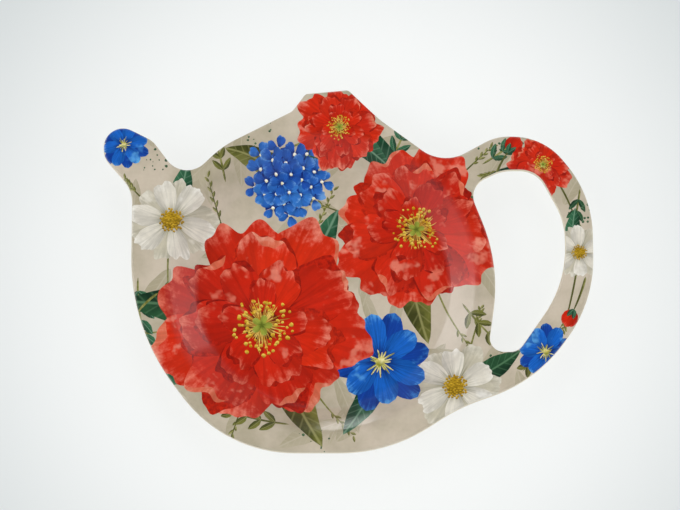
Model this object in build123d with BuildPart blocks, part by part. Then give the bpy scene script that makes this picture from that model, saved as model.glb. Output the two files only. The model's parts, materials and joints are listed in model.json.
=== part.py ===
import os

from build123d import *

# Tea bag rest: a shallow teapot-shaped dish of printed melamine, lying face up on its foot ring.
# Millimetres. X runs from spout to handle, Y from the base of the pot to its lid, Z is up.
# The origin is under the middle of the outline's box, on the plane the foot ring stands on.

# well for the tea bag
WELL_LENGTH = 76.5
WELL_WIDTH = 74.8
WELL_DEPTH = 6.2
WELL_WALL_RUN = 7.4
WELL_FLOOR_ROUND = 2.0

# flat rim left around the well, and what reaches out beyond it
RIM_LEFT = 8.55
RIM_RIGHT = 3.45
RIM_BASE = 4.4
LID_RISE = 10.8
SPOUT_REACH = 7.2

# spout
SPOUT_TIP_RADIUS = 4.7
SPOUT_VALLEY_RADIUS = 6.0

# lid knob
KNOB_WIDTH = 10.6
KNOB_OFFSET = 0.9
KNOB_SLANT = 1.0
KNOB_CORNER = 1.4
LID_FOOT_RADIUS = 3.0

# handle loop
HANDLE_DROP = 11.8
HANDLE_BAND = 6.8
HANDLE_CROWN = 8.5
GAP_WIDTH = 17.5
GAP_HEIGHT = 45.1

# shell and its decoration
WALL = 2.6
FOIL = 0.2
GLAZE = 0.2
EDGE_ROUND = 0.8
THROAT_ROUND = 0.8

# foot ring under the well floor
FOOT_HEIGHT = 1.2
FOOT_BAND = 2.4
FOOT_INSET = 4.0
FOOT_ROUND = 0.3

# overall size, and the lines that the features are placed from
LENGTH = SPOUT_REACH + RIM_LEFT + WELL_LENGTH + RIM_RIGHT + GAP_WIDTH + HANDLE_BAND
DEPTH = RIM_BASE + WELL_WIDTH + LID_RISE
HEIGHT = FOOT_HEIGHT + WALL + WELL_DEPTH
LEFT = -LENGTH / 2
RIGHT = LENGTH / 2
BASE = -DEPTH / 2
TOP = DEPTH / 2
BELLY_LEFT = LEFT + SPOUT_REACH
WELL_X = BELLY_LEFT + RIM_LEFT + WELL_LENGTH / 2
WELL_Y = BASE + RIM_BASE + WELL_WIDTH / 2
WELL_FAR = WELL_Y + WELL_WIDTH / 2
GAP_LEFT = WELL_X + WELL_LENGTH / 2 + RIM_RIGHT
GAP_RIGHT = RIGHT - HANDLE_BAND
HANDLE_TOP = TOP - HANDLE_DROP
GAP_TOP = HANDLE_TOP - HANDLE_CROWN
GAP_FOOT = GAP_TOP - GAP_HEIGHT
KNOB_RIGHT = WELL_X + KNOB_WIDTH / 2 + KNOB_OFFSET
KNOB_LEFT = KNOB_RIGHT - KNOB_WIDTH

SKIN = FOIL + GLAZE
WELL_RIM_ROUND = WALL + THROAT_ROUND

# A sloped wall moved square to itself by one unit shifts sideways by this much where it meets the flats.
WALL_SLANT = (WELL_DEPTH**2 + WELL_WALL_RUN**2) ** 0.5
WALL_SHIFT = (WALL_SLANT - WELL_WALL_RUN) / WELL_DEPTH

# Corners of the outline with the radius that rounds each one, anticlockwise from the base.
# Between the lines above, they lie at shares of the nearest feature's size, so the pot keeps its proportions.
OUTLINE = [
    # base and lower root of the handle
    ((WELL_X + 0.208 * WELL_LENGTH, BASE), 0.533 * WELL_WIDTH),
    ((GAP_LEFT - 0.111 * WELL_LENGTH, BASE + 0.149 * WELL_WIDTH), 0.618 * WELL_WIDTH),
    # handle
    ((GAP_RIGHT - 0.431 * GAP_WIDTH, BASE + 0.234 * WELL_WIDTH), 0.487 * WELL_WIDTH),
    ((RIGHT, BASE + 0.493 * WELL_WIDTH), 0.449 * WELL_WIDTH),
    ((RIGHT, HANDLE_TOP - 0.2 * WELL_WIDTH), 0.374 * WELL_WIDTH),
    ((GAP_RIGHT - 0.278 * GAP_WIDTH, HANDLE_TOP), 0.206 * WELL_WIDTH),
    ((GAP_LEFT + 0.048 * GAP_WIDTH, HANDLE_TOP), 0.15 * WELL_WIDTH),
    ((GAP_LEFT - 0.161 * WELL_LENGTH, WELL_FAR - 0.1096 * WELL_WIDTH), 0.131 * WELL_WIDTH),
    # lid and knob
    ((KNOB_RIGHT + 0.724 * LID_RISE, TOP - 0.699 * LID_RISE), 1.48 * LID_RISE),
    ((KNOB_RIGHT, TOP), KNOB_CORNER),
    ((KNOB_LEFT, TOP - KNOB_SLANT), KNOB_CORNER),
    ((KNOB_LEFT - 0.299 * LID_RISE, TOP - 0.5 * LID_RISE), LID_FOOT_RADIUS),
    # shoulder and spout
    ((BELLY_LEFT + 0.286 * WELL_LENGTH, WELL_FAR - 0.322 * LID_RISE), 0.318 * WELL_WIDTH),
    ((BELLY_LEFT + 0.166 * WELL_LENGTH, WELL_FAR - 0.168 * WELL_WIDTH), SPOUT_VALLEY_RADIUS),
    ((LEFT + 2.56 * SPOUT_TIP_RADIUS, WELL_FAR - 0.439 * SPOUT_TIP_RADIUS), 1.3 * SPOUT_TIP_RADIUS),
    ((LEFT, WELL_FAR + 0.861 * SPOUT_TIP_RADIUS), SPOUT_TIP_RADIUS),
    ((LEFT, WELL_FAR - 1.319 * SPOUT_TIP_RADIUS), SPOUT_TIP_RADIUS),
    # belly
    ((BELLY_LEFT, WELL_FAR - 0.1943 * WELL_WIDTH), 1.9 * SPOUT_TIP_RADIUS),
    ((BELLY_LEFT, WELL_Y - 0.1537 * WELL_WIDTH), 0.702 * WELL_WIDTH),
    ((WELL_X - 0.305 * WELL_LENGTH, BASE), 0.4557 * WELL_WIDTH),
]

# Corners of the opening in the handle, anticlockwise from its foot.
HANDLE_GAP = [
    ((GAP_LEFT + 0.322 * GAP_WIDTH, GAP_FOOT), 0.21 * GAP_WIDTH),
    ((GAP_RIGHT, GAP_FOOT + 0.373 * GAP_HEIGHT), 0.65 * GAP_HEIGHT),
    ((GAP_RIGHT, GAP_TOP - 0.28 * GAP_HEIGHT), 0.4 * GAP_HEIGHT),
    ((GAP_RIGHT - 0.388 * GAP_WIDTH, GAP_TOP), 0.38 * GAP_WIDTH),
    ((GAP_LEFT + 0.129 * GAP_WIDTH, GAP_TOP), 0.6 * GAP_WIDTH),
    ((GAP_LEFT - 0.354 * GAP_WIDTH, GAP_TOP - 0.089 * GAP_HEIGHT), 0.29 * GAP_WIDTH),
    ((GAP_LEFT + 0.085 * GAP_WIDTH, GAP_FOOT + 0.48 * GAP_HEIGHT), 0.95 * GAP_HEIGHT),
    ((GAP_LEFT - 0.094 * GAP_WIDTH, GAP_FOOT), 0.19 * GAP_WIDTH),
]


def teapot(z):
    """Face of the teapot outline with its handle opening, at height z."""
    with BuildSketch(Plane.XY.offset(z)) as face:
        with BuildLine():
            FilletPolyline(*[corner for corner, _ in OUTLINE], radius=[r for _, r in OUTLINE], close=True)
        make_face()
        with BuildLine():
            FilletPolyline(*[corner for corner, _ in HANDLE_GAP], radius=[r for _, r in HANDLE_GAP], close=True)
        make_face(mode=Mode.SUBTRACT)
    return face.sketch


def well_oval(z, inset):
    """Oval of the well at height z, drawn in from the rim's oval by inset."""
    with BuildSketch(Plane((WELL_X, WELL_Y, z))) as oval:
        Ellipse(WELL_LENGTH / 2 - inset, WELL_WIDTH / 2 - inset)
    return oval.sketch


def well_plug(below):
    """Solid that fills the well down to the surface lying this far below the glazed face."""
    rim = HEIGHT - below
    spread = below * WALL_SHIFT
    with BuildPart() as plug:
        loft([well_oval(rim - WELL_DEPTH, WELL_WALL_RUN - spread), well_oval(rim, -spread)])
        fillet(plug.edges().group_by(Axis.Z)[0], WELL_FLOOR_ROUND + below)
    return plug.part


def space_above(below):
    """Everything over the surface lying this far below the glazed face, well included."""
    rim = HEIGHT - below
    with BuildPart() as space:
        with BuildSketch(Plane.XY.offset(rim)):
            Rectangle(LENGTH * 1.5, DEPTH * 1.5)
        extrude(amount=WALL)
        add(well_plug(below))
        mouth = space.faces().filter_by(Plane.XY).group_by(Axis.Z)[1].face().inner_wires()[0]
        fillet(mouth.edges(), WELL_RIM_ROUND - below)
    return space.part


with BuildPart() as whole:
    # rim plate with rounded edges all round
    add(teapot(HEIGHT - WALL))
    extrude(amount=WALL)
    flats = whole.faces().filter_by(Plane.XY)
    fillet(flats.edges(), EDGE_ROUND)
    # outside of the well, blended into the rim's underside
    add(well_plug(WALL))
    under = whole.faces().filter_by(Plane.XY).filter_by(lambda f: f.normal_at().Z < 0).sort_by(Axis.Z)[-1]
    throat = under.inner_wires().sort_by(SortBy.LENGTH)[-1]
    fillet(throat.edges(), WELL_RIM_ROUND - WALL)
    # foot ring
    with BuildSketch(Plane((WELL_X, WELL_Y, 0))):
        Ellipse(WELL_LENGTH / 2 - WELL_WALL_RUN - FOOT_INSET, WELL_WIDTH / 2 - WELL_WALL_RUN - FOOT_INSET)
        Ellipse(
            WELL_LENGTH / 2 - WELL_WALL_RUN - FOOT_INSET - FOOT_BAND,
            WELL_WIDTH / 2 - WELL_WALL_RUN - FOOT_INSET - FOOT_BAND,
            mode=Mode.SUBTRACT,
        )
    extrude(amount=FOOT_HEIGHT)
    fillet(whole.edges().group_by(Axis.Z)[0], FOOT_ROUND)

with BuildPart() as dish:
    add(whole.part)
    add(space_above(SKIN), mode=Mode.SUBTRACT)

with BuildPart() as foil:
    add(whole.part)
    add(space_above(SKIN), mode=Mode.INTERSECT)
    add(space_above(GLAZE), mode=Mode.SUBTRACT)

with BuildPart() as glaze:
    add(whole.part)
    add(space_above(GLAZE), mode=Mode.INTERSECT)
    add(space_above(0), mode=Mode.SUBTRACT)

os.makedirs("parts", exist_ok=True)
dish.part.label = "moulded_dish"
export_step(dish.part, "parts/moulded_dish.step")
foil.part.label = "printed_foil"
export_step(foil.part, "parts/printed_foil.step")
glaze.part.label = "clear_glaze"
export_step(glaze.part, "parts/clear_glaze.step")
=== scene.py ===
import json
import math
import random

import bpy
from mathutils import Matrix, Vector
from mathutils.bvhtree import BVHTree
from mathutils.geometry import barycentric_transform, delaunay_2d_cdt

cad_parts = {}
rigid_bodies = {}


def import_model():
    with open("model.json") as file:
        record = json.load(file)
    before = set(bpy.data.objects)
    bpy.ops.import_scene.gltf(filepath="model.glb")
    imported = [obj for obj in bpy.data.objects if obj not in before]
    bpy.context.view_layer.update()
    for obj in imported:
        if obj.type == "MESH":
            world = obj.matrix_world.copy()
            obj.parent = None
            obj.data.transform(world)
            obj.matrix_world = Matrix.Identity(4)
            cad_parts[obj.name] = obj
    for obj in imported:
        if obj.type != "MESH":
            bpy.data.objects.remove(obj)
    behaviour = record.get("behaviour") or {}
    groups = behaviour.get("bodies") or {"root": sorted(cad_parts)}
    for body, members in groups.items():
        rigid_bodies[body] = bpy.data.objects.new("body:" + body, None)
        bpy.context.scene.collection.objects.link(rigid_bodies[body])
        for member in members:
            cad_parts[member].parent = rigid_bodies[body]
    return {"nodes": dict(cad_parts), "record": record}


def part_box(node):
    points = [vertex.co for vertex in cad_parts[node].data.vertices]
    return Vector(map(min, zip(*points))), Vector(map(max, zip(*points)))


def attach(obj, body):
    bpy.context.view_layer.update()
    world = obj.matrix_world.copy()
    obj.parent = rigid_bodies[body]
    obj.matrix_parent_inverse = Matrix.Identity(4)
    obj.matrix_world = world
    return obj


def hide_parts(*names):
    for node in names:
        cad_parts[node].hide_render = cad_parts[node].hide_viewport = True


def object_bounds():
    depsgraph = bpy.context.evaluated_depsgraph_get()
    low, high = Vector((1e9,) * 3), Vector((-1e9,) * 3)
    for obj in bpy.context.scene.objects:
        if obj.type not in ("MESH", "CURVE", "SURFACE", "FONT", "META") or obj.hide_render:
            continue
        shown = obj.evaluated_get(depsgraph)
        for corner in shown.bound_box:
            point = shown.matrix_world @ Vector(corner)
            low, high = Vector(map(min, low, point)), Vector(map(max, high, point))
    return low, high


for startObject in list(bpy.data.objects):  # the start-up cube, lamp and camera
    bpy.data.objects.remove(startObject)

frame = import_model()
cadLow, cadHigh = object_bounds()
nodes = frame["nodes"]
mm = 0.001
fullTurn = 2 * math.pi
print("frame loaded:", ", ".join(sorted(nodes)))


def paint(code):  # sRGB hex code to the linear colour that sockets take
    parts = [int(code[i : i + 2], 16) / 255 for i in (0, 2, 4)]
    return tuple(c / 12.92 if c < 0.04045 else ((c + 0.055) / 1.055) ** 2.4 for c in parts) + (1.0,)


def tintSet(codes):
    return [paint(code) for code in codes]


def blendTints(first, second, share):
    return [tuple(a + (b - a) * share for a, b in zip(x, y)) for x, y in zip(first, second)]


def neighbours(loop):  # each point of a closed loop with the next one
    return zip(loop, loop[1:] + loop[:1])


def signedArea(loop):
    return sum(a[0] * b[1] - b[0] * a[1] for a, b in neighbours(loop)) / 2


def anticlockwise(loop):
    return loop[::-1] if signedArea(loop) < 0 else loop


def closedLoops(follow):  # loops of a table that gives the point after each point
    loops = []
    while follow:
        first, at = follow.popitem()
        loop = [first]
        while at != first:
            loop.append(at)
            at = follow.pop(at)
        loops.append(loop)
    return loops


# The face of the dish, read from the CAD skin.
skin = dict(
    rayStart=0.05,  # metres over or under the dish
    flatNormal=-0.99,
    sameHeight=1e-5,
    skim=0.02,  # millimetres over the well's floor and under its mouth
)


def skinTree(*names):  # search tree over CAD nodes, with each triangle's corners and corner normals
    corners, normals = [], []
    for name in names:
        mesh = nodes[name].data
        mesh.calc_loop_triangles()
        for tri in mesh.loop_triangles:
            corners.append([mesh.vertices[i].co.copy() for i in tri.vertices])
            normals.append([Vector(mesh.corner_normals[i].vector) for i in tri.loops])
    points = [p for tri in corners for p in tri]
    faces = [(3 * i, 3 * i + 1, 3 * i + 2) for i in range(len(corners))]
    return BVHTree.FromPolygons(points, faces), corners, normals


def castOn(tree, x, y, way):  # height and smooth normal where a ray, down (-1) or up (1), meets the skin
    search, corners, normals = tree
    start = Vector((x, y, -way * skin["rayStart"]))
    spot, _, index, _ = search.ray_cast(start, Vector((0, 0, way)))
    if spot is None:
        return None
    smooth = barycentric_transform(spot, *corners[index], *normals[index])
    return spot.z, smooth.normalized()


def flatLoops(name, level):  # borders of a node's flat underside at one height, largest first
    mesh = nodes[name].data
    uses = {}
    for face in mesh.polygons:
        if face.normal.z < skin["flatNormal"] and abs(face.center.z - level) < skin["sameHeight"]:
            ring = [tuple(round(c, 7) for c in mesh.vertices[i].co.xy) for i in face.vertices]
            for a, b in neighbours(ring):
                uses.setdefault(frozenset((a, b)), []).append((a, b))
    loops = closedLoops(dict(u[0] for u in uses.values() if len(u) == 1))
    loops = [anticlockwise([(x / mm, y / mm) for x, y in loop]) for loop in loops]
    return sorted(loops, key=lambda loop: -abs(signedArea(loop)))


faceTree = skinTree("clear_glaze", "printed_foil")
backTree = skinTree("printed_foil")
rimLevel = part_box("moulded_dish")[1].z
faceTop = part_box("clear_glaze")[1].z
outline, _, handleGap = flatLoops("printed_foil", rimLevel)  # the second is the well's mouth
wellFloor = next(m for m in frame["record"]["mounts"] if m["name"] == "well_floor")["pos_m"]
wellMiddle = (wellFloor[0] / mm, wellFloor[1] / mm)


def wallReach(height):  # how far the well's wall is from its middle, along X and along Y
    start = Vector((wellFloor[0], wellFloor[1], height))
    return [faceTree[0].ray_cast(start, Vector(way))[3] / mm for way in ((1, 0, 0), (0, 1, 0))]


floorReach = wallReach(wellFloor[2] + skin["skim"] * mm)
mouthReach = wallReach(faceTop - skin["skim"] * mm)
print("outline points:", len(outline), "handle gap points:", len(handleGap))
print("well floor reach", [round(r, 2) for r in floorReach], "mouth reach", [round(r, 2) for r in mouthReach])

# The print: flowers and leaves cut as one flat mosaic, then laid onto the face.
# Drawn in millimetres on the plan of the dish, from the back to the front.
motifs = []
petalKind, leafKind, brushKind = 1, 2, 3  # material numbers, after 0 for the bare ground
anyAngle = (0, 6.28)
spiralStep = 2.4  # radians from one floret or seed to the next


def turned(x, y, heading, origin):
    c, s = math.cos(heading), math.sin(heading)
    return origin[0] + c * x - s * y, origin[1] + s * x + c * y


def addMotif(kind, shape, origin, heading, scale, form, tints, rng):
    motif = dict(kind=kind, shape=anticlockwise(shape), origin=origin, heading=heading)
    motif.update(scale=scale, form=form, tints=tints, chance=rng.random())
    motifs.append(motif)


fan = dict(
    waves=(((0.8, 2.2), 1.0), ((2.5, 4.5), 0.6), ((5, 9), 0.25)),  # ripples along the edge, height of each
    notchWidth=0.17,
    points=46,
)


def fanOutline(centre, heading, reach, spread, rng, tip, ruffle, notch=0.0, points=fan["points"]):
    waves = [(rng.uniform(*pitch), rng.uniform(*anyAngle), height) for pitch, height in fan["waves"]]
    shape = []
    for i in range(points):
        a = -1 + 2 * i / points
        swell = max(math.cos(a * math.pi / 2), 0) ** tip
        wave = sum(h * math.sin(f * a * math.pi + p) for f, p, h in waves)
        dent = 1 - notch * math.exp(-((a / fan["notchWidth"]) ** 2))
        r = reach * swell * (1 + ruffle * wave * swell) * dent
        shape.append(turned(r * math.cos(a * spread), r * math.sin(a * spread), heading, centre))
    return shape


def fanPetal(
    centre, heading, reach, spread, tints, rng, tip, ruffle, notch, vein, edge, points=fan["points"]
):
    shape = fanOutline(centre, heading, reach, spread, rng, tip, ruffle, notch, points)
    addMotif(petalKind, shape, centre, heading, (reach, reach), (spread, edge, vein), tints, rng)
    return shape


lipCut = dict(start=(0.16, 0.4), length=(0.25, 0.42), tail=4, depth=(0.05, 0.12), edge=0.9, vein=0.5)


def turnedLip(shape, centre, heading, reach, spread, tints, rng):  # pale turned-over edge along a petal's tip
    first = int(len(shape) * rng.uniform(*lipCut["start"]))
    last = min(first + int(len(shape) * rng.uniform(*lipCut["length"])), len(shape) - lipCut["tail"])
    outer = shape[first:last]
    deepest = rng.uniform(*lipCut["depth"])
    inner = []
    for k, (x, y) in enumerate(outer):
        pull = 1 - deepest * math.sin(math.pi * k / (len(outer) - 1)) ** 0.8
        inner.append((centre[0] + (x - centre[0]) * pull, centre[1] + (y - centre[1]) * pull))
    form = (spread, lipCut["edge"], lipCut["vein"])
    addMotif(petalKind, outer + inner[-2:0:-1], centre, heading, (reach, reach), form, tints, rng)


def bladeShape(base, heading, length, half, bend, belly, point, rng, wobble, points=16):
    peak = (belly / (belly + point)) ** belly * (point / (belly + point)) ** point
    sides = [[], []]
    for side, sign in enumerate((-1, 1)):
        for i in range(points + 1):
            t = i / points
            wide = half * t**belly * (1 - t) ** point / peak
            wide *= 1 + wobble * math.sin(t * 19 + side * 2 + rng.random() * 0.8)
            sides[side].append(turned(t * length, sign * wide + bend * length * t * t, heading, base))
    return sides[0] + sides[1][-2:0:-1]


def bladePetal(centre, heading, reach, half, tints, rng, bend=0.0, vein=0.5, belly=0.8, point=0.5):
    shape = bladeShape(centre, heading, reach, half, bend, belly, point, rng, wobble=0.03)
    form = (math.atan(1.5 * half / reach), 0.8, vein)
    addMotif(petalKind, shape, centre, heading, (reach, reach), form, tints, rng)


def leaf(base, heading, length, half, tints, rng, bend):
    heading = math.radians(heading)
    shape = bladeShape(base, heading, length, half, bend, 0.75, 0.85, rng, wobble=0.04)
    addMotif(leafKind, shape, base, heading, (length, half), (bend * length / half, 0, 0), tints, rng)


def brush(start, heading, length, half, tints, rng, bend=0.0, belly=0.15, point=0.4):
    shape = bladeShape(start, heading, length, half, bend, belly, point, rng, wobble=0.0, points=14)
    addMotif(brushKind, shape, start, heading, (length, half), (bend * length / half, 0, 0), tints, rng)


def dab(centre, radius, tints, rng, points):
    shape = []
    for i in range(points):
        r = radius * rng.uniform(0.8, 1.15)
        shape.append(turned(r, 0, fullTurn * i / points, centre))
    addMotif(brushKind, shape, centre, 0.0, (radius, radius), (0, 0, 0), tints, rng)


# Sizes of a flower's parts are shares of its radius.
peony = dict(
    whorls=(  # petals, reach, half angle and bluntness, from the outer whorl in
        (7, 1.0, 0.64, 0.3),
        (7, 0.82, 0.6, 0.3),
        (6, 0.62, 0.62, 0.34),
        (5, 0.42, 0.62, 0.38),
    ),
    whorlTurn=29,
    sway=0.16,
    reachVary=(0.88, 1.08),
    spreadVary=(0.9, 1.12),
    petal=dict(ruffle=0.06, vein=0.55, edge=0.84),
    shadow=dict(turn=0.02, reach=1.025, spread=1.04, tint=0.4),
    lipChance=0.4,
    heartSize=0.15,
    filaments=56,
    filamentReach=(0.12, 0.29),
    filamentWidth=0.007,
    anthers=70,
    antherReach=(0.13, 0.29),
    antherSize=(0.013, 0.022),
    carpels=5,
    carpelSize=(0.1, 0.03),
    vermilion=("7a0c03", "d82d0c", "ee9f88"),
    crimson=("640503", "c01c08", "e4745a"),
    lip=("c04026", "d8694c", "e9a58e"),
    heart=("3c0a04", "5c1408", "7d2812"),
    filament=("8d5a14", "c8922c", "e6c668"),
    anther=("8f5e06", "d3a116", "efd45c"),
    carpel=("5c6a1c", "98a23c", "ccd07c"),
)


def paintPetalShadow(centre, heading, reach, spread, tip, tints, rng):  # dark line on the petals behind
    shadow = peony["shadow"]
    shape = fanOutline(
        centre, heading + shadow["turn"], reach * shadow["reach"], spread * shadow["spread"],
        rng, tip, peony["petal"]["ruffle"],
    )
    between = blendTints(tints[:1], tints[1:2], shadow["tint"])[0]
    addMotif(brushKind, shape, centre, heading, (reach, reach), (0, 0, 0), [tints[0], between, tints[1]], rng)


def paintPeonyHeart(centre, size, turn, rng):
    dab(centre, size * peony["heartSize"], tintSet(peony["heart"]), rng, 14)
    for k in range(peony["filaments"]):
        heading = fullTurn * (k + rng.random()) / peony["filaments"]
        length = size * rng.uniform(*peony["filamentReach"])
        bend = rng.uniform(-0.2, 0.2)
        brush(centre, heading, length, size * peony["filamentWidth"], tintSet(peony["filament"]), rng, bend)
    for k in range(peony["anthers"]):
        heading = fullTurn * (k + rng.random()) / peony["anthers"]
        spot = turned(size * rng.uniform(*peony["antherReach"]), 0, heading, centre)
        dab(spot, size * rng.uniform(*peony["antherSize"]), tintSet(peony["anther"]), rng, 8)
    long, half = (size * share for share in peony["carpelSize"])
    for k in range(peony["carpels"]):
        heading = math.radians(turn + 360 // peony["carpels"] * k)
        bladePetal(centre, heading, long, half, tintSet(peony["carpel"]), rng)


def paintPeony(centre, size, turn, rng):
    vermilion, crimson, lip = (tintSet(peony[name]) for name in ("vermilion", "crimson", "lip"))
    for ring, (count, reach, half, tip) in enumerate(peony["whorls"]):
        order = list(range(count))
        rng.shuffle(order)
        for k in order:
            sway = rng.uniform(-peony["sway"], peony["sway"])
            heading = math.radians(turn + ring * peony["whorlTurn"]) + fullTurn * (k + sway) / count
            tints = blendTints(vermilion, crimson, min(1, rng.random() * 0.7 + 0.1 * ring))
            long = size * reach * rng.uniform(*peony["reachVary"])
            spread = half * rng.uniform(*peony["spreadVary"])
            if ring:
                draws = rng.getstate()
                paintPetalShadow(centre, heading, long, spread, tip, tints, rng)
                rng.setstate(draws)
            notch = 0.1 * rng.random() ** 2
            shape = fanPetal(centre, heading, long, spread, tints, rng, tip, notch=notch, **peony["petal"])
            if ring < 2 and rng.random() < peony["lipChance"]:
                turnedLip(shape, centre, heading, long, spread, lip, rng)
    paintPeonyHeart(centre, size, turn, rng)


blueStar = dict(
    petals=6,
    whorls=((1.0, "back"), (0.88, "front")),
    petalWidth=0.23,
    vein=0.85,
    filaments=18,
    filamentReach=(0.18, 0.34),
    filamentWidth=0.017,
    heartSize=0.09,
    back=("05154e", "0d409e", "3c88d2"),
    front=("08226e", "1562c2", "68b6ec"),
    heart=("6f7a20", "c9b84a", "efe7a8"),
)


def paintBlueStar(centre, size, turn, rng):
    count, heart = blueStar["petals"], tintSet(blueStar["heart"])
    for ring, (reach, name) in enumerate(blueStar["whorls"]):
        for k in range(count):
            heading = math.radians(turn) + fullTurn * (k + 0.5 * ring + rng.uniform(-0.08, 0.08)) / count
            long = size * reach * rng.uniform(0.92, 1.05)
            bend = rng.uniform(-0.08, 0.08)
            half = size * blueStar["petalWidth"]
            bladePetal(centre, heading, long, half, tintSet(blueStar[name]), rng, bend, blueStar["vein"])
    for k in range(blueStar["filaments"]):
        heading = fullTurn * (k + rng.random()) / blueStar["filaments"]
        length = size * rng.uniform(*blueStar["filamentReach"])
        bend = rng.uniform(-0.25, 0.25)
        brush(centre, heading, length, size * blueStar["filamentWidth"], heart, rng, bend)
    dab(centre, size * blueStar["heartSize"], heart, rng, 12)


hydrangea = dict(
    florets=26,
    floretSize=0.3,
    spread=0.84,
    shadowSize=0.74,
    petals=4,
    petalAngle=2.7,  # half angles of one floret's petals together
    petal=dict(tip=0.3, ruffle=0.03, notch=0.06, vein=0.4, edge=0.72, points=16),
    eyeSize=0.14,
    dark=("0a1e66", "1a50b0", "5896dc"),
    light=("15327e", "357acc", "92c2ec"),
    eye=("c8c48c", "efe9bc", "ffffff"),
)


def paintFloret(spot, size, tints, eye, rng):
    count = hydrangea["petals"]
    turn = rng.uniform(*anyAngle)
    for p in range(count):
        long = size * rng.uniform(0.9, 1.1)
        spread = hydrangea["petalAngle"] / count
        fanPetal(spot, turn + p * 2 * math.pi / count, long, spread, tints, rng, **hydrangea["petal"])
    dab(spot, size * hydrangea["eyeSize"], eye, rng, 7)


def paintHydrangea(centre, size, rng):
    dark, light, eye = (tintSet(hydrangea[name]) for name in ("dark", "light", "eye"))
    dab(centre, size * hydrangea["shadowSize"], [dark[0], dark[0], dark[1]], rng, 40)
    for k in range(hydrangea["florets"]):
        away = size * hydrangea["spread"] * math.sqrt(1 - (k + 0.5) / hydrangea["florets"])
        tints = blendTints(dark, light, rng.random())
        paintFloret(turned(away, 0, k * spiralStep, centre), size * hydrangea["floretSize"], tints, eye, rng)


whiteBloom = dict(
    petals=6,
    whorls=((1.0, "back"), (0.95, "front")),
    petalAngle=0.5,
    petal=dict(tip=0.36, ruffle=0.045, vein=0.4, edge=0.72),
    discSize=0.2,
    seeds=64,
    seedReach=0.27,
    seedSize=0.03,
    back=("7f7c60", "c2bba6", "e4dfd2"),
    front=("98937a", "dcd6c8", "f4f1ea"),
    disc=("6c4c05", "b08811", "d6b036"),
    shade=("5c4a08", "96760e", "c49a1c"),
)


def paintWhiteBloom(centre, size, turn, rng):
    count, disc, shade = whiteBloom["petals"], tintSet(whiteBloom["disc"]), tintSet(whiteBloom["shade"])
    for ring, (reach, name) in enumerate(whiteBloom["whorls"]):
        for k in range(count):
            heading = math.radians(turn) + fullTurn * (k + 0.5 * ring + rng.uniform(-0.1, 0.1)) / count
            long = size * reach * rng.uniform(0.9, 1.05)
            notch = 0.1 * rng.random()
            tints, spread = tintSet(whiteBloom[name]), whiteBloom["petalAngle"]
            fanPetal(centre, heading, long, spread, tints, rng, notch=notch, **whiteBloom["petal"])
    dab(centre, size * whiteBloom["discSize"], shade, rng, 18)
    for k in range(whiteBloom["seeds"]):
        away = size * whiteBloom["seedReach"] * math.sqrt((k + 0.5) / whiteBloom["seeds"])
        tints = blendTints(disc, shade, rng.random() * 0.6)
        spot = turned(away, 0, k * spiralStep + rng.uniform(-0.2, 0.2), centre)
        dab(spot, size * whiteBloom["seedSize"], tints, rng, 7)


greens = dict(
    cool=("173f29", "356a4a", "86ab8e"),
    deep=("13301f", "2b5636", "648f68"),
    olive=("3f421a", "747536", "aaa76c"),
    ghost=("aea48a", "b8ae96", "c5bba5"),
    stem=("474a1e", "6c6e30", "949356"),
    speck=("1d3a24", "33553a", "5a7a58"),
)
cool, deep, olive, ghost, stem, speck = (tintSet(codes) for codes in greens.values())
sprig = dict(stemWidth=0.26, leafLength=0.26, leafWidth=0.05, leafAngle=(35, 55), leafBend=0.12)
grass = dict(
    stemWidth=0.24,
    seeds=9,
    earStart=0.76,  # share of the stalk below the ear
    seedStep=0.03,
    seedAngle=0.5,
    seedLength=(1.3, 1.9),
    seedWidth=0.3,
)
bud = dict(
    stemWidth=0.3,
    petalAngles=(-0.42, 0.42, 0.0),
    petalWidth=0.3,
    cupAngles=(-0.5, 0.5),
    cupSize=(0.55, 0.13),
)


def paintSprig(start, heading, length, bend, pairs, tints, rng):  # a fine stem with leaves on both sides
    turn = math.radians(heading)
    brush(start, turn, length, sprig["stemWidth"], stem, rng, bend)
    for k in range(pairs):
        t = (k + 1) / (pairs + 0.6)
        at = turned(t * length, bend * length * t * t, turn, start)
        along = heading + math.degrees(math.atan(2 * bend * t))
        long = length * sprig["leafLength"] * (1.15 - 0.5 * t)
        for sign in (-1, 1):
            side = along + sign * rng.uniform(*sprig["leafAngle"])
            leaf(at, side, long, length * sprig["leafWidth"], tints, rng, -sprig["leafBend"] * sign)


def paintGrass(start, heading, length, bend, rng):  # a bent stalk with a small ear of seeds
    turn = math.radians(heading)
    brush(start, turn, length, grass["stemWidth"], stem, rng, bend)
    for k in range(grass["seeds"]):
        t = grass["earStart"] + grass["seedStep"] * k
        at = turned(t * length, bend * length * t * t, turn, start)
        side = turn + math.atan(2 * bend * t) + (grass["seedAngle"] if k % 2 else -grass["seedAngle"])
        seedLength = rng.uniform(*grass["seedLength"])
        brush(at, side, seedLength, grass["seedWidth"], olive if k % 3 else stem, rng, belly=0.6, point=0.7)


def paintBud(start, heading, length, size, bend, rng):  # a red bud on a bent stem
    turn = math.radians(heading)
    brush(start, turn, length, bud["stemWidth"], stem, rng, bend)
    tip = turned(length, bend * length, turn, start)
    out = turn + math.atan(2 * bend)
    for side in bud["petalAngles"]:
        tints = blendTints(tintSet(peony["vermilion"]), tintSet(peony["crimson"]), rng.random())
        long, half = size * (1.0 - 0.2 * abs(side)), size * bud["petalWidth"]
        bladePetal(tip, out + side, long, half, tints, rng, -0.3 * side, belly=0.6, point=0.6)
    long, half = (size * share for share in bud["cupSize"])
    for side in bud["cupAngles"]:
        foot = turned(-0.1 * size, 0, out, tip)
        leaf(foot, math.degrees(out + side), long, half, cool, rng, -0.3 * side)


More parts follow.
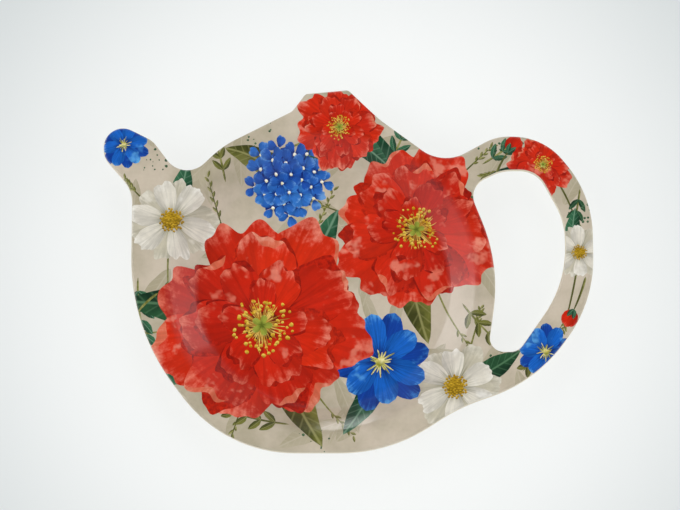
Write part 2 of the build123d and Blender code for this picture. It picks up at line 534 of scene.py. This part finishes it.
def paintSpecks(centre, reach, count, rng):
    for _ in range(count):
        away = reach * math.sqrt(rng.random())
        spot = turned(away, 0, rng.uniform(*anyAngle), centre)
        dab(spot, rng.uniform(0.12, 0.42), speck, rng, 7)


rng = random.Random(41)

# faded leaves and fine grasses far behind the flowers
for _ in range(60):
    base = (rng.uniform(-58, 58), rng.uniform(-44, 44))
    heading, length, half = rng.uniform(0, 360), rng.uniform(9, 18), rng.uniform(1.2, 2.6)
    leaf(base, heading, length, half, ghost, rng, rng.uniform(-0.2, 0.2))
for base, heading, length, bend in (
    ((-21, -13), 58, 38, 0.08),
    ((-21, -13), 116, 38, -0.1),
    ((-21, -13), 182, 36, 0.1),
    ((-21, -13), 262, 33, -0.12),
    ((-18, -14), 300, 33, 0.1),
    ((17, 11), 284, 36, 0.16),
    ((17, 11), 172, 29, -0.14),
    ((17, 11), 52, 27, -0.1),
    ((17, 11), 20, 24, 0.2),
    ((26, -29), 66, 20, 0.1),
    ((-2, 35), 196, 22, 0.1),
    ((-2, 35), 340, 17, -0.1),
    ((-43, 12), 150, 15, -0.2),
    ((-43, 12), 262, 20, 0.12),
    ((48, 26), 186, 15, 0.1),
    ((50, 24), 305, 16, -0.2),
    ((56.5, 4), 262, 20, -0.08),
):
    paintGrass(base, heading, length, bend, rng)

# sprigs and specks on the bare ground
for start, heading, length, bend, pairs, tints in (
    ((-30, 22), 100, 13, 0.1, 4, olive),
    ((10, 26), 60, 16, 0.12, 4, cool),
    ((33, 26), 30, 14, 0.15, 4, cool),
    ((57, 20), 262, 13, -0.06, 4, deep),
    ((52, -14), 235, 15, -0.1, 4, olive),
    ((-51, -2), 268, 20, 0.2, 5, cool),
    ((28, -8), 300, 15, 0.2, 4, olive),
    ((-14, -38), 175, 16, -0.12, 4, olive),
):
    paintSprig(start, heading, length, bend, pairs, tints, rng)
for centre, reach, count in (
    ((36, 31), 4, 22),
    ((57, 14), 3, 14),
    ((-48, 27), 4, 16),
    ((-8, -42), 4, 14),
    ((34, -24), 4, 14),
    ((-22, 34), 4, 14),
):
    paintSpecks(centre, reach, count, rng)

# leaves behind the blooms
for base, heading, length, half, tints, bend in (
    ((-21, -13), 165, 34, 4.6, deep, 0.12),
    ((-22, -13), 215, 34, 4.8, cool, -0.12),
    ((-19, -14), 285, 32, 4.2, olive, 0.15),
    ((-18, -12), 55, 32, 4.0, cool, 0.1),
    ((17, 12), 5, 25, 3.8, deep, 0.14),
    ((17, 12), 125, 26, 3.8, cool, -0.16),
    ((14, 10), 275, 28, 3.8, olive, 0.12),
    ((9, -22), 250, 21, 3.0, cool, -0.15),
    ((26, -29), 20, 18, 2.8, deep, 0.16),
    ((-43, 12), 70, 15, 2.6, cool, 0.1),
    ((-14, 24), 150, 17, 2.8, olive, 0.16),
    ((-2, 35), 215, 15, 2.4, deep, 0.1),
    ((-2, 35), 330, 15, 2.4, cool, -0.1),
    ((47, 26), 205, 13, 2.0, deep, -0.2),
    ((55, 3), 95, 12, 1.9, cool, -0.15),
):
    leaf(base, heading, length, half, tints, rng, bend)

# buds and blooms: place, radius and turn, the later ones on top
paintBud((36, 22), 75, 8, 4.6, -0.2, rng)
paintBud((58, -2), 255, 9, 4.4, -0.1, rng)
paintBud((-46, -6), 215, 9, 4.8, 0.2, rng)
paintHydrangea((-15, 23), 10.5, rng)
paintWhiteBloom((-43, 12), 11, 15, rng)
paintWhiteBloom((26, -29), 11, 0, rng)
paintBlueStar((8, -22), 13, 10, rng)
paintPeony((17, 11), 20.5, 10, rng)
paintPeony((-21, -13), 26.5, 0, rng)
paintPeony((-2, 35.5), 10.5, 40, rng)
paintBlueStar((-55, 31), 6.5, 40, rng)
paintPeony((48, 26), 8.2, 15, rng)
paintWhiteBloom((56.5, 4), 7, 60, rng)
paintBlueStar((48, -20.5), 7.5, 25, rng)
print("print motifs:", len(motifs))

# The sheet that carries the print, closed by a back that lies on the dish.
sheet = dict(
    wellRings=25,  # rings of points down the well's wall
    ringPoints=160,
    edgeRings=(0.06, 0.16, 0.3, 0.5, 0.7),  # millimetres in from the edge
    snap=1e-4,  # points closer than this become one
    nudge=0.03,  # how far in from the edge the face is read there
    uvMargin=0.01,
    backUv=(0.02, 0.8, 0.2),  # corner and scale of the hidden back in the bake map
)


def inward(loop, away):  # loop moved to its left by a distance
    moved = []
    for before, at, after in zip(loop[-1:] + loop[:-1], loop, loop[1:] + loop[:1]):
        along = (Vector(after) - Vector(at)).normalized() + (Vector(at) - Vector(before)).normalized()
        along.normalize()
        moved.append((at[0] - along.y * away, at[1] + along.x * away))
    return moved


def wellRing(share):  # ring on the well's wall, from 0 at its floor to 1 at its mouth
    along, across = (a + (b - a) * share for a, b in zip(floorReach, mouthReach))
    turns = [fullTurn * i / sheet["ringPoints"] for i in range(sheet["ringPoints"])]
    return [(wellMiddle[0] + along * math.cos(a), wellMiddle[1] + across * math.sin(a)) for a in turns]


def mosaic(edge, gap, shapes, rings):  # triangles of the plan, with the number of the topmost shape of each
    points, edges, faces = [], [], []
    for loop in [edge, gap] + shapes:
        faces.append(list(range(len(points), len(points) + len(loop))))
        points += [Vector(p) for p in loop]
    for loop in rings:
        edges += list(neighbours(list(range(len(points), len(points) + len(loop)))))
        points += [Vector(p) for p in loop]
    spots, _, tiles, _, _, sources = delaunay_2d_cdt(points, edges, faces, 0, sheet["snap"])
    kept = [(tile, max(ids) - 2) for tile, ids in zip(tiles, sources) if 0 in ids and 1 not in ids]
    return spots, kept


def spotKey(spot):
    return tuple(round(c, 4) for c in spot)


lastRing = sheet["wellRings"] - 1
wellRings = [wellRing(k / lastRing) for k in range(sheet["wellRings"])]
edgeRings = [inward(outline, away) for away in sheet["edgeRings"]]
edgeRings += [inward(handleGap, -away) for away in sheet["edgeRings"]]
spots, tiles = mosaic(outline, handleGap, [m["shape"] for m in motifs], wellRings + edgeRings)
print("mosaic points:", len(spots), "tiles:", len(tiles))

# border of the kept tiles, which the back of the sheet shares
sides = dict.fromkeys(side for tile, _ in tiles for side in neighbours(tile))
borders = closedLoops({a: b for a, b in sides if (b, a) not in sides})
borders.sort(key=lambda loop: -abs(signedArea([spots[i] for i in loop])))
borderIds = {spotKey(spots[i]): i for loop in borders for i in loop}
onBorder = {i for loop in borders for i in loop}
print("borders:", [len(loop) for loop in borders])

sheetVerts, vertNormals, sheetTiles, cornerNormals = [], [], [], []
used = {}
for tile, _ in tiles:
    for i in tile:
        if i in used:
            continue
        used[i] = len(sheetVerts)
        x, y = spots[i]
        hit = castOn(faceTree, x * mm, y * mm, -1)
        edgeSpot = i in onBorder or hit is None
        if hit is None:
            pull = (Vector(wellMiddle) - spots[i]).normalized() * sheet["nudge"]
            hit = castOn(faceTree, (x + pull.x) * mm, (y + pull.y) * mm, -1)
        sheetVerts.append((x * mm, y * mm, rimLevel if edgeSpot else hit[0]))
        vertNormals.append(hit[1] if hit else Vector((0, 0, 1)))
for tile, _ in tiles:
    sheetTiles.append([used[i] for i in tile])
    cornerNormals += [vertNormals[used[i]] for i in tile]

edgeLoop, gapLoop = ([tuple(spots[i]) for i in loop] for loop in borders)
backSpots, backTiles = mosaic(edgeLoop, anticlockwise(gapLoop), [], wellRings[::2])
backUsed = {}
for tile, _ in backTiles:
    for i in tile:
        if i in backUsed:
            continue
        key = spotKey(backSpots[i])
        if key in borderIds:
            backUsed[i] = used[borderIds[key]]
            continue
        x, y = (c * mm for c in backSpots[i])
        height, normal = castOn(backTree, x, y, 1)
        backUsed[i] = len(sheetVerts)
        sheetVerts.append((x, y, height))
        vertNormals.append(normal)
borderVerts = {used[i] for i in onBorder}
for tile, _ in backTiles:
    corners = [backUsed[i] for i in tile[::-1]]
    sheetTiles.append(corners)
    cornerNormals += [Vector((0, 0, -1)) if i in borderVerts else vertNormals[i] for i in corners]

sheetMesh = bpy.data.meshes.new("printedFace")
sheetMesh.from_pydata(sheetVerts, [], sheetTiles)
sheetMesh.polygons.foreach_set("use_smooth", [True] * len(sheetTiles))
printedFace = bpy.data.objects.new("printedFace", sheetMesh)
bpy.context.scene.collection.objects.link(printedFace)

# what the materials read: the place on the petal, its form and its three tints
tintNames = ("deepTint", "mainTint", "edgeTint")
ground = dict(tints=("b0a68e", "bcb29b", "d0c3b0"), cloudScale=60.0, grainScale=1400.0, grainShare=0.06)
bareGround = dict(kind=0, form=(0, 0, 0), tints=tintSet(ground["tints"]))
tileMotifs = [motifs[top] if top >= 0 else bareGround for _, top in tiles] + [bareGround] * len(backTiles)
placeData, formData, tintData = [], [], [[], [], []]
for motif, (tile, _) in zip(tileMotifs, tiles + backTiles):
    if motif is bareGround:
        placeData += [0.0] * 9
    else:
        left, bottom = motif["origin"]
        for i in tile:
            x, y = turned(spots[i].x - left, spots[i].y - bottom, -motif["heading"], (0, 0))
            placeData += [x / motif["scale"][0], y / motif["scale"][1], motif["chance"]]
    formData += motif["form"]
    for store, tint in zip(tintData, motif["tints"]):
        store += tint
sheetMesh.attributes.new("petalPlace", "FLOAT_VECTOR", "CORNER").data.foreach_set("vector", placeData)
sheetMesh.attributes.new("petalForm", "FLOAT_VECTOR", "FACE").data.foreach_set("vector", formData)
for name, data in zip(tintNames, tintData):
    sheetMesh.attributes.new(name, "FLOAT_COLOR", "FACE").data.foreach_set("color", data)
sheetMesh.polygons.foreach_set("material_index", [motif["kind"] for motif in tileMotifs])

bakeMap = sheetMesh.uv_layers.new(name="OFBake")  # the plan of the dish, with the hidden back in a corner
planWidth = cadHigh.x - cadLow.x
uvData = []
for number, tile in enumerate(sheetTiles):
    left, bottom, scale = sheet["uvMargin"], sheet["uvMargin"], 1 - 2 * sheet["uvMargin"]
    if number >= len(tiles):
        left, bottom, scale = sheet["backUv"]
    for i in tile:
        uvData.append(left + scale * (sheetVerts[i][0] - cadLow.x) / planWidth)
        uvData.append(bottom + scale * (sheetVerts[i][1] - cadLow.y) / planWidth)
bakeMap.uv.foreach_set("vector", uvData)
sheetMesh.normals_split_custom_set([tuple(n) for n in cornerNormals])
print("printed face:", len(sheetVerts), "vertices,", len(sheetTiles), "triangles")

# Materials: the print under its clear overlay, and the cream body.
noiseSpan = (0.3, 0.7)  # most of a noise lies between these


class NodeBench:  # short ways to add and join nodes in one material
    def __init__(self, material):
        self.tree = material.node_tree
        self.column = 0

    def add(self, kind, **settings):
        node = self.tree.nodes.new(kind)
        self.column += 1
        node.location = (200 * (self.column % 12) - 2600, -220 * (self.column // 12))
        for name, value in settings.items():
            setattr(node, name, value)
        return node

    def put(self, socket, value):
        if isinstance(value, bpy.types.NodeSocket):
            self.tree.links.new(value, socket)
        else:
            socket.default_value = value

    def maths(self, operation, *values):
        node = self.add("ShaderNodeMath", operation=operation)
        for socket, value in zip(node.inputs, values):
            self.put(socket, value)
        return node.outputs[0]

    def times(self, a, b):
        return self.maths("MULTIPLY", a, b)

    def plus(self, a, b):
        return self.maths("ADD", a, b)

    def minus(self, a, b):
        return self.maths("SUBTRACT", a, b)

    def step(self, value, low, high, toLow=0.0, toHigh=1.0):
        node = self.add("ShaderNodeMapRange", interpolation_type="SMOOTHSTEP")
        names = ("Value", "From Min", "From Max", "To Min", "To Max")
        for name, given in zip(names, (value, low, high, toLow, toHigh)):
            self.put(node.inputs[name], given)
        return node.outputs[0]

    def mix(self, factor, a, b, blend="MIX"):
        node = self.add("ShaderNodeMix", data_type="RGBA", blend_type=blend)
        self.put(node.inputs[0], factor)
        self.put(node.inputs[6], a)
        self.put(node.inputs[7], b)
        return node.outputs[2]

    def shaded(self, factor, base, value):  # base darkened by a grey value
        return self.mix(factor, base, self.vector(value, value, value), "MULTIPLY")

    def noise(self, vector, scale, detail=2.0, rough=0.5):
        node = self.add("ShaderNodeTexNoise")
        self.put(node.inputs["Vector"], vector)
        node.inputs["Scale"].default_value = scale
        node.inputs["Detail"].default_value = detail
        node.inputs["Roughness"].default_value = rough
        return node.outputs["Fac"]

    def vector(self, x, y, z):
        node = self.add("ShaderNodeCombineXYZ")
        for socket, value in zip(node.inputs, (x, y, z)):
            self.put(socket, value)
        return node.outputs[0]

    def split(self, vector):
        node = self.add("ShaderNodeSeparateXYZ")
        self.put(node.inputs[0], vector)
        return list(node.outputs)

    def attribute(self, name, output="Vector"):
        return self.add("ShaderNodeAttribute", attribute_name=name).outputs[output]

    def tints(self, *names):
        return [self.attribute(name, "Color") for name in names]

    def place(self):
        return self.add("ShaderNodeTexCoord").outputs["Object"]

    def bump(self, height, strength, distance):
        node = self.add("ShaderNodeBump")
        node.inputs["Strength"].default_value = strength
        node.inputs["Distance"].default_value = distance
        self.put(node.inputs["Height"], height)
        return node.outputs[0]


glaze = dict(
    satin=(0.285, 0.38),
    specular=0.28,
    coat=0.55,
    coatRoughness=0.13,
    waveScale=170.0,
    waveStrength=0.25,
    waveHeight=0.00003,
)


def glazed(name, colourOf):  # print under the clear overlay; colourOf builds the colour
    material = bpy.data.materials.new(name)
    material.use_nodes = True
    bench = NodeBench(material)
    shader = bench.tree.nodes["Principled BSDF"]
    bench.put(shader.inputs["Base Color"], colourOf(bench))
    wave = bench.noise(bench.place(), glaze["waveScale"], 3.0)
    bench.put(shader.inputs["Roughness"], bench.step(wave, *noiseSpan, *glaze["satin"]))
    shader.inputs["Specular IOR Level"].default_value = glaze["specular"]
    shader.inputs["Coat Weight"].default_value = glaze["coat"]
    shader.inputs["Coat Roughness"].default_value = glaze["coatRoughness"]
    bump = bench.bump(wave, glaze["waveStrength"], glaze["waveHeight"])
    bench.put(shader.inputs["Normal"], bump)
    bench.put(shader.inputs["Coat Normal"], bump)
    return material


def groundColour(bench):  # beige paper with faint cloudy washes and grain
    deepTint, edgeTint = bench.tints("deepTint", "edgeTint")
    spot = bench.place()
    cloud = bench.noise(spot, ground["cloudScale"], 4.0, 0.6)
    grain = bench.noise(spot, ground["grainScale"], 2.0)
    base = bench.mix(bench.step(cloud, *noiseSpan), deepTint, edgeTint)
    return bench.mix(ground["grainShare"], base, bench.vector(grain, grain, grain), "OVERLAY")


petalInk = dict(
    seeds=83.0,  # keeps one petal's streaks apart from the next one's
    streak=(5.0, 0.9),  # how fine, across and along the petal
    fold=(1.4, 1.2),
    washScale=150.0,
    cloudScale=420.0,
    stray=0.6,  # how far the washes stray from even rings
    heart=(0.06, 0.5),  # where the deep tint gives way to the main one
    veins=(0.3, 0.62, 0.7, 1.08),  # from, to, and the shades there
    folds=(0.1, 1.4, 1.06, 0.78),
    patches=(0.6, 0.7, 0.0, 0.65),
    patchReach=(0.3, 0.65),
    paleEdge=(1.2, 0.85),  # where the edge tint is full, and how much of it
    mottle=(0.86, 1.1),
)


def petalColour(bench):
    x, y, chance = bench.split(bench.attribute("petalPlace"))
    spread, edgeStart, vein = bench.split(bench.attribute("petalForm"))
    deepTint, mainTint, edgeTint = bench.tints(*tintNames)
    away = bench.maths("SQRT", bench.plus(bench.times(x, x), bench.times(y, y)))
    across = bench.maths("DIVIDE", bench.maths("ARCTAN2", y, x), spread)
    seed = bench.times(chance, petalInk["seeds"])

    def along(fine, scale, detail, rough):  # noise drawn out along the petal
        spot = bench.vector(bench.times(across, fine[0]), bench.times(away, fine[1]), seed)
        return bench.noise(spot, scale, detail, rough)

    streak = along(petalInk["streak"], 1.5, 3.0, 0.6)
    fold = along(petalInk["fold"], 1.3, 2.0, 0.5)
    wash = bench.noise(bench.place(), petalInk["washScale"], 3.0, 0.6)
    cloud = bench.noise(bench.place(), petalInk["cloudScale"], 4.0, 0.65)
    ragged = bench.plus(away, bench.times(bench.minus(streak, 0.5), petalInk["stray"]))
    base = bench.mix(bench.step(ragged, *petalInk["heart"]), deepTint, mainTint)
    base = bench.shaded(vein, base, bench.step(streak, *petalInk["veins"]))
    slope = bench.plus(across, bench.times(fold, 0.9))
    base = bench.shaded(1.0, base, bench.step(slope, *petalInk["folds"]))
    patch = bench.times(bench.step(wash, *petalInk["patches"]), bench.step(away, *petalInk["patchReach"]))
    base = bench.mix(patch, base, edgeTint)
    rim = bench.plus(ragged, bench.times(bench.minus(cloud, 0.5), petalInk["stray"]))
    full, share = petalInk["paleEdge"]
    base = bench.mix(bench.step(rim, edgeStart, full, 0.0, share), base, edgeTint)
    return bench.shaded(0.5, base, bench.step(cloud, *noiseSpan, *petalInk["mottle"]))


leafInk = dict(
    cloudScale=200.0,
    sideShade=0.28,  # one half of the leaf is darker
    wash=(0.3, 0.75),
    ribs=9.0,
    ribSlant=0.16,
    rib=(0.0, 0.16, 0.26, 0.0),  # from, to, and the shares of the edge tint there
    midrib=(0.02, 0.12, 0.6, 0.0),
)


def leafColour(bench):
    x, y, _ = bench.split(bench.attribute("petalPlace"))
    bend = bench.split(bench.attribute("petalForm"))[0]
    deepTint, mainTint, edgeTint = bench.tints(*tintNames)
    across = bench.minus(y, bench.times(bend, bench.times(x, x)))
    aside = bench.maths("ABSOLUTE", across)
    cloud = bench.noise(bench.place(), leafInk["cloudScale"], 4.0, 0.65)
    wash = bench.plus(bench.times(across, leafInk["sideShade"]), cloud)
    base = bench.mix(bench.step(wash, *leafInk["wash"]), deepTint, mainTint)
    slanted = bench.minus(x, bench.times(aside, leafInk["ribSlant"]))
    ribs = bench.maths("FRACT", bench.times(slanted, leafInk["ribs"]))
    rib = bench.step(bench.maths("ABSOLUTE", bench.minus(ribs, 0.5)), *leafInk["rib"])
    midrib = bench.step(aside, *leafInk["midrib"])
    return bench.mix(bench.maths("MAXIMUM", rib, midrib), base, edgeTint)


brushInk = dict(cloudScale=900.0, cloud=(0.35, 0.65), shade=(-0.9, 0.5, 0.8, 0.0))


def brushColour(bench):
    deepTint, mainTint, edgeTint = bench.tints(*tintNames)
    cloud = bench.noise(bench.place(), brushInk["cloudScale"], 3.0, 0.6)
    base = bench.mix(bench.step(cloud, *brushInk["cloud"]), mainTint, edgeTint)
    across = bench.split(bench.attribute("petalPlace"))[1]
    return bench.mix(bench.step(across, *brushInk["shade"]), base, deepTint)


printInks = dict(  # in the order of the kinds of motif
    printGround=groundColour,
    printPetals=petalColour,
    printLeaves=leafColour,
    printBrush=brushColour,
)
for name, colourOf in printInks.items():
    sheetMesh.materials.append(glazed(name, colourOf))
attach(printedFace, "root")
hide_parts("printed_foil", "clear_glaze")

dishLook = dict(
    body="ddd3bd",
    shade="d6cbb4",
    scuff="b3a68c",
    roughness=(0.29, 0.39),
    cloudScale=28.0,
    speckScale=900.0,
    specks=(0.68, 0.8, 0.0, 0.3),
    scuffHeight=0.0003,  # metres above the table that the foot ring is rubbed to
    scratchScale=420.0,
    scratchTurn=0.6,
    scratchStretch=9.0,
    scratches=(0.5, 0.66),
    scuffRoughness=0.3,
    bumpScale=350.0,
    bumpStrength=0.3,
    bumpHeight=0.00003,
)


def dishMaterial():  # pressed melamine: cream, faintly cloudy, with fine specks of filler
    material = bpy.data.materials.new("creamMelamine")
    material.use_nodes = True
    bench = NodeBench(material)
    shader = bench.tree.nodes["Principled BSDF"]
    spot = bench.place()
    cloud = bench.noise(spot, dishLook["cloudScale"], 1.0)
    speck = bench.noise(spot, dishLook["speckScale"], 1.0)
    base = bench.mix(bench.step(cloud, *noiseSpan), paint(dishLook["shade"]), paint(dishLook["body"]))
    base = bench.mix(bench.step(speck, *dishLook["specks"]), base, paint(dishLook["scuff"]))
    stretched = bench.add("ShaderNodeMapping")
    bench.put(stretched.inputs["Vector"], spot)
    stretched.inputs["Rotation"].default_value = (0.0, 0.0, dishLook["scratchTurn"])
    stretched.inputs["Scale"].default_value = (1.0, dishLook["scratchStretch"], 1.0)
    scratch = bench.noise(stretched.outputs[0], dishLook["scratchScale"], 3.0, 0.7)
    rubbed = dishLook["scuffHeight"]
    low = bench.step(bench.split(spot)[2], rubbed * 0.3, rubbed, 1.0, 0.0)
    worn = bench.times(low, bench.step(scratch, *dishLook["scratches"]))  # where the foot ring rubs the table
    bench.put(shader.inputs["Base Color"], bench.mix(worn, base, paint(dishLook["scuff"])))
    satin = bench.step(cloud, *noiseSpan, *dishLook["roughness"])
    bench.put(shader.inputs["Roughness"], bench.plus(satin, bench.times(worn, dishLook["scuffRoughness"])))
    ripple = bench.noise(spot, dishLook["bumpScale"], 2.0)
    bump = bench.bump(ripple, dishLook["bumpStrength"], dishLook["bumpHeight"])
    bench.put(shader.inputs["Normal"], bump)
    return material


creamMelamine = dishMaterial()
for slot in nodes["moulded_dish"].material_slots:
    slot.material = creamMelamine
print("materials assigned")

# Floor, light and camera.
floorLook = dict(
    size=3.0,
    drop=0.0001,  # metres under the foot ring
    # near and far: a painted pool of light, brighter around the dish and darker further out
    near="fafcfb",
    far="c8cfd0",
    fade=(0.045, 0.15),  # metres from the middle where the bright near colour of the painted pool of light ends and the darker far one is full
    roughness=0.9,
    shadow=0.24,  # share of the shadow that shows
)


def floorMaterial():
    material = bpy.data.materials.new("paleFloor")
    material.use_nodes = True
    bench = NodeBench(material)
    shader = bench.tree.nodes["Principled BSDF"]
    away = bench.add("ShaderNodeVectorMath", operation="LENGTH")
    bench.put(away.inputs[0], bench.place())
    fade = bench.step(away.outputs["Value"], *floorLook["fade"])
    # painted pool of light: the floor colour goes from the bright near colour to the darker far one
    pale = bench.mix(fade, paint(floorLook["near"]), paint(floorLook["far"]))
    bench.put(shader.inputs["Base Color"], pale)
    shader.inputs["Roughness"].default_value = floorLook["roughness"]
    shader.inputs["Specular IOR Level"].default_value = 0.0
    glow = bench.add("ShaderNodeEmission")  # lifts the shadow where the floor is seen or mirrored, glowing in the colours of the painted pool of light
    bench.put(glow.inputs["Color"], pale)
    rays = bench.add("ShaderNodeLightPath").outputs
    mirrored = bench.maths("MAXIMUM", rays["Is Glossy Ray"], rays["Is Transmission Ray"])
    seen = bench.maths("MAXIMUM", rays["Is Camera Ray"], mirrored)
    lifted = bench.add("ShaderNodeMixShader")
    bench.put(lifted.inputs[0], bench.times(seen, 1 - floorLook["shadow"]))
    bench.put(lifted.inputs[1], shader.outputs[0])
    bench.put(lifted.inputs[2], glow.outputs[0])
    # clear from below and to the lamp under it, so that the underside can be looked at
    backfacing = bench.add("ShaderNodeNewGeometry").outputs["Backfacing"]
    oneWay = bench.add("ShaderNodeMixShader")
    bench.put(oneWay.inputs[0], bench.maths("MAXIMUM", backfacing, rays["Is Shadow Ray"]))
    bench.put(oneWay.inputs[1], lifted.outputs[0])
    bench.put(oneWay.inputs[2], bench.add("ShaderNodeBsdfTransparent").outputs[0])
    bench.put(bench.tree.nodes["Material Output"].inputs["Surface"], oneWay.outputs[0])
    return material


half = floorLook["size"] / 2
floorMesh = bpy.data.meshes.new("floor")
floorCorners = [(-half, -half, 0), (half, -half, 0), (half, half, 0), (-half, half, 0)]
floorMesh.from_pydata(floorCorners, [], [(0, 1, 2, 3)])
floorMesh.materials.append(floorMaterial())
floor = bpy.data.objects.new("floor", floorMesh)
floor.location.z = cadLow.z - floorLook["drop"]
bpy.context.scene.collection.objects.link(floor)

roomLook = dict(colour="f2f5f6", walls=0.4, ceiling=0.06, rise=(0.3, 0.85), backdrop=0.6)
world = bpy.data.worlds.new("softRoom")
bpy.context.scene.world = world
world.use_nodes = True
bench = NodeBench(world)
sky = bench.tree.nodes["Background"]
sky.inputs["Color"].default_value = paint(roomLook["colour"])
upward = bench.split(bench.add("ShaderNodeTexCoord").outputs["Generated"])[2]
room = bench.step(upward, *roomLook["rise"], roomLook["walls"], roomLook["ceiling"])
cameraRay = bench.add("ShaderNodeLightPath").outputs["Is Camera Ray"]
bench.put(sky.inputs["Strength"], bench.maths("MAXIMUM", room, bench.times(cameraRay, roomLook["backdrop"])))


def softbox(name, place, size, level, mirrored=False):  # level is the brightness of the lit panel
    lamp = bpy.data.lights.new(name, "AREA")
    lamp.shape = "RECTANGLE"
    lamp.size, lamp.size_y = size
    lamp.energy = level * math.pi * size[0] * size[1]
    box = bpy.data.objects.new(name, lamp)
    box.location = place
    aim = Vector((0, 0, place[2] * 0.4))
    box.rotation_euler = (aim - Vector(place)).to_track_quat("-Z", "Y").to_euler()
    box.visible_glossy = mirrored  # only the low panes show in the gloss, so the print stays clear
    box.visible_diffuse = not mirrored
    bpy.context.scene.collection.objects.link(box)


softbox("leftSoftbox", (-0.55, -0.05, 0.5), (1.0, 0.72), 1.5)
softbox("rightSoftbox", (0.55, -0.05, 0.5), (1.0, 0.72), 1.45)
softbox("backSoftbox", (0.0, 0.6, 0.55), (0.4, 0.6), 2.2)
softbox("frontSoftbox", (0.0, -0.6, 0.55), (0.6, 0.5), 1.6)
softbox("lowPaneLeft", (-0.7, 0.05, 0.085), (1.0, 0.17), 4.4, True)
softbox("lowPaneRight", (0.7, 0.05, 0.085), (1.0, 0.17), 2.0, True)
softbox("lowPaneBack", (-0.12, 0.8, 0.032), (0.24, 0.032), 24.0, True)
softbox("underSoftbox", (0.0, 0.0, -0.6), (1.2, 1.2), 1.2)
print("floor and lights set")

viewLook = dict(elevation=79.0, distance=0.62, across=0.1658, target=(-0.00184, 0.00335), sensor=36.0)
camera = bpy.data.cameras.new("camera")
camera.sensor_width = viewLook["sensor"]
camera.lens = viewLook["sensor"] * viewLook["distance"] / viewLook["across"]
cameraObject = bpy.data.objects.new("camera", camera)
rise = math.radians(viewLook["elevation"])
aim = Vector((*viewLook["target"], cadHigh.z))
cameraObject.location = aim + Vector((0, -math.cos(rise), math.sin(rise))) * viewLook["distance"]
cameraObject.rotation_euler = (aim - cameraObject.location).to_track_quat("-Z", "Y").to_euler()
bpy.context.scene.collection.objects.link(cameraObject)
bpy.context.scene.camera = cameraObject
bpy.context.scene.view_settings.view_transform = "Standard"
print("camera set")

bpy.context.view_layer.update()
